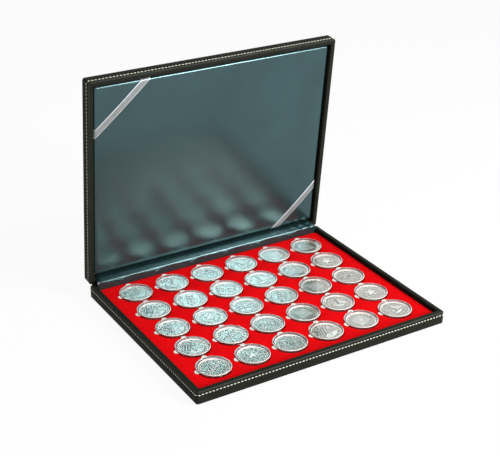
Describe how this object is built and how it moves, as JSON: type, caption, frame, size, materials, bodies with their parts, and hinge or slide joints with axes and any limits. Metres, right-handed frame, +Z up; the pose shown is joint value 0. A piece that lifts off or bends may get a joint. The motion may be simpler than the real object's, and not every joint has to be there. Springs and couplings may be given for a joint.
{
  "type": "coin display case",
  "caption": "Shallow leatherette case standing open: red flocked tray with a grid of coins in clear capsules, and a hinged lid with padded satin lining and corner ribbons.",
  "frame": {"origin": "centre of the base's flat underside", "axes": "+X along the hinge, to the right seen from the front; +Y from the front to the hinge; +Z up"},
  "size_m": [0.306, 0.2604, 0.2607],
  "materials": {
    "leatherette": "satin",
    "board": "matte",
    "red_flock": "matte",
    "satin": "satin",
    "foam": "matte",
    "ribbon": "satin",
    "coin_silver": "satin",
    "capsule_acrylic": "gloss",
    "stitch_thread": "matte"
  },
  "bodies": {
    "base": {"base_cover": "leatherette", "base_floor_board": "board", "base_front_board": "board", "base_back_board": "board", "base_left_board": "board", "base_right_board": "board", "panel_backing": "board", "flocked_panel": "red_flock", "hinge_flap": "board", "hinge_web": "satin", "hinge_spine": "leatherette"},
    "lid": {"lid_cover": "leatherette", "lid_floor_board": "board", "lid_front_board": "board", "lid_back_board": "board", "lid_left_board": "board", "lid_right_board": "board", "lining_card": "board", "lining_foam": "foam", "lining_satin": "satin", "ribbon_far_left": "ribbon", "ribbon_near_right": "ribbon"},
    "capsule_r1_c1": {"capsule_r1_c1": "coin_silver"},
    "capsule_r1_c2": {"capsule_r1_c2": "coin_silver"},
    "capsule_r1_c3": {"capsule_r1_c3": "coin_silver"},
    "capsule_r1_c4": {"capsule_r1_c4": "coin_silver"},
    "capsule_r1_c5": {"capsule_r1_c5": "coin_silver"},
    "capsule_r1_c6": {"capsule_r1_c6": "coin_silver"},
    "capsule_r2_c1": {"capsule_r2_c1": "coin_silver"},
    "capsule_r2_c2": {"capsule_r2_c2": "coin_silver"},
    "capsule_r2_c3": {"capsule_r2_c3": "coin_silver"},
    "capsule_r2_c4": {"capsule_r2_c4": "coin_silver"},
    "capsule_r2_c5": {"capsule_r2_c5": "coin_silver"},
    "capsule_r2_c6": {"capsule_r2_c6": "coin_silver"},
    "capsule_r3_c1": {"capsule_r3_c1": "coin_silver"},
    "capsule_r3_c2": {"capsule_r3_c2": "coin_silver"},
    "capsule_r3_c3": {"capsule_r3_c3": "coin_silver"},
    "capsule_r3_c4": {"capsule_r3_c4": "coin_silver"},
    "capsule_r3_c5": {"capsule_r3_c5": "coin_silver"},
    "capsule_r3_c6": {"capsule_r3_c6": "coin_silver"},
    "capsule_r4_c1": {"capsule_r4_c1": "coin_silver"},
    "capsule_r4_c2": {"capsule_r4_c2": "coin_silver"},
    "capsule_r4_c3": {"capsule_r4_c3": "coin_silver"},
    "capsule_r4_c4": {"capsule_r4_c4": "coin_silver"},
    "capsule_r4_c5": {"capsule_r4_c5": "coin_silver"},
    "capsule_r4_c6": {"capsule_r4_c6": "coin_silver"},
    "capsule_r5_c1": {"capsule_r5_c1": "coin_silver"},
    "capsule_r5_c2": {"capsule_r5_c2": "coin_silver"},
    "capsule_r5_c3": {"capsule_r5_c3": "coin_silver"},
    "capsule_r5_c4": {"capsule_r5_c4": "coin_silver"},
    "capsule_r5_c5": {"capsule_r5_c5": "coin_silver"},
    "capsule_r5_c6": {"capsule_r5_c6": "coin_silver"}
  },
  "joints": [
    {"name": "lid_hinge", "type": "hinge", "parent": "base", "child": "lid", "pos_m": [0, 0.12255, 0.01495], "axis": [-1, 0, 0], "range_deg": [-84.3, 13.7], "deforming": ["hinge_web", "hinge_spine"]},
    {"name": "capsule_r1_c1_lift", "type": "slide", "parent": "base", "child": "capsule_r1_c1", "axis": [0, 0, 1], "range_m": [0, 0.012]},
    {"name": "capsule_r1_c2_lift", "type": "slide", "parent": "base", "child": "capsule_r1_c2", "axis": [0, 0, 1], "range_m": [0, 0.012]},
    {"name": "capsule_r1_c3_lift", "type": "slide", "parent": "base", "child": "capsule_r1_c3", "axis": [0, 0, 1], "range_m": [0, 0.012]},
    {"name": "capsule_r1_c4_lift", "type": "slide", "parent": "base", "child": "capsule_r1_c4", "axis": [0, 0, 1], "range_m": [0, 0.012]},
    {"name": "capsule_r1_c5_lift", "type": "slide", "parent": "base", "child": "capsule_r1_c5", "axis": [0, 0, 1], "range_m": [0, 0.012]},
    {"name": "capsule_r1_c6_lift", "type": "slide", "parent": "base", "child": "capsule_r1_c6", "axis": [0, 0, 1], "range_m": [0, 0.012]},
    {"name": "capsule_r2_c1_lift", "type": "slide", "parent": "base", "child": "capsule_r2_c1", "axis": [0, 0, 1], "range_m": [0, 0.012]},
    {"name": "capsule_r2_c2_lift", "type": "slide", "parent": "base", "child": "capsule_r2_c2", "axis": [0, 0, 1], "range_m": [0, 0.012]},
    {"name": "capsule_r2_c3_lift", "type": "slide", "parent": "base", "child": "capsule_r2_c3", "axis": [0, 0, 1], "range_m": [0, 0.012]},
    {"name": "capsule_r2_c4_lift", "type": "slide", "parent": "base", "child": "capsule_r2_c4", "axis": [0, 0, 1], "range_m": [0, 0.012]},
    {"name": "capsule_r2_c5_lift", "type": "slide", "parent": "base", "child": "capsule_r2_c5", "axis": [0, 0, 1], "range_m": [0, 0.012]},
    {"name": "capsule_r2_c6_lift", "type": "slide", "parent": "base", "child": "capsule_r2_c6", "axis": [0, 0, 1], "range_m": [0, 0.012]},
    {"name": "capsule_r3_c1_lift", "type": "slide", "parent": "base", "child": "capsule_r3_c1", "axis": [0, 0, 1], "range_m": [0, 0.012]},
    {"name": "capsule_r3_c2_lift", "type": "slide", "parent": "base", "child": "capsule_r3_c2", "axis": [0, 0, 1], "range_m": [0, 0.012]},
    {"name": "capsule_r3_c3_lift", "type": "slide", "parent": "base", "child": "capsule_r3_c3", "axis": [0, 0, 1], "range_m": [0, 0.012]},
    {"name": "capsule_r3_c4_lift", "type": "slide", "parent": "base", "child": "capsule_r3_c4", "axis": [0, 0, 1], "range_m": [0, 0.012]},
    {"name": "capsule_r3_c5_lift", "type": "slide", "parent": "base", "child": "capsule_r3_c5", "axis": [0, 0, 1], "range_m": [0, 0.012]},
    {"name": "capsule_r3_c6_lift", "type": "slide", "parent": "base", "child": "capsule_r3_c6", "axis": [0, 0, 1], "range_m": [0, 0.012]},
    {"name": "capsule_r4_c1_lift", "type": "slide", "parent": "base", "child": "capsule_r4_c1", "axis": [0, 0, 1], "range_m": [0, 0.012]},
    {"name": "capsule_r4_c2_lift", "type": "slide", "parent": "base", "child": "capsule_r4_c2", "axis": [0, 0, 1], "range_m": [0, 0.012]},
    {"name": "capsule_r4_c3_lift", "type": "slide", "parent": "base", "child": "capsule_r4_c3", "axis": [0, 0, 1], "range_m": [0, 0.012]},
    {"name": "capsule_r4_c4_lift", "type": "slide", "parent": "base", "child": "capsule_r4_c4", "axis": [0, 0, 1], "range_m": [0, 0.012]},
    {"name": "capsule_r4_c5_lift", "type": "slide", "parent": "base", "child": "capsule_r4_c5", "axis": [0, 0, 1], "range_m": [0, 0.012]},
    {"name": "capsule_r4_c6_lift", "type": "slide", "parent": "base", "child": "capsule_r4_c6", "axis": [0, 0, 1], "range_m": [0, 0.012]},
    {"name": "capsule_r5_c1_lift", "type": "slide", "parent": "base", "child": "capsule_r5_c1", "axis": [0, 0, 1], "range_m": [0, 0.012]},
    {"name": "capsule_r5_c2_lift", "type": "slide", "parent": "base", "child": "capsule_r5_c2", "axis": [0, 0, 1], "range_m": [0, 0.012]},
    {"name": "capsule_r5_c3_lift", "type": "slide", "parent": "base", "child": "capsule_r5_c3", "axis": [0, 0, 1], "range_m": [0, 0.012]},
    {"name": "capsule_r5_c4_lift", "type": "slide", "parent": "base", "child": "capsule_r5_c4", "axis": [0, 0, 1], "range_m": [0, 0.012]},
    {"name": "capsule_r5_c5_lift", "type": "slide", "parent": "base", "child": "capsule_r5_c5", "axis": [0, 0, 1], "range_m": [0, 0.012]},
    {"name": "capsule_r5_c6_lift", "type": "slide", "parent": "base", "child": "capsule_r5_c6", "axis": [0, 0, 1], "range_m": [0, 0.012]}
  ]
}
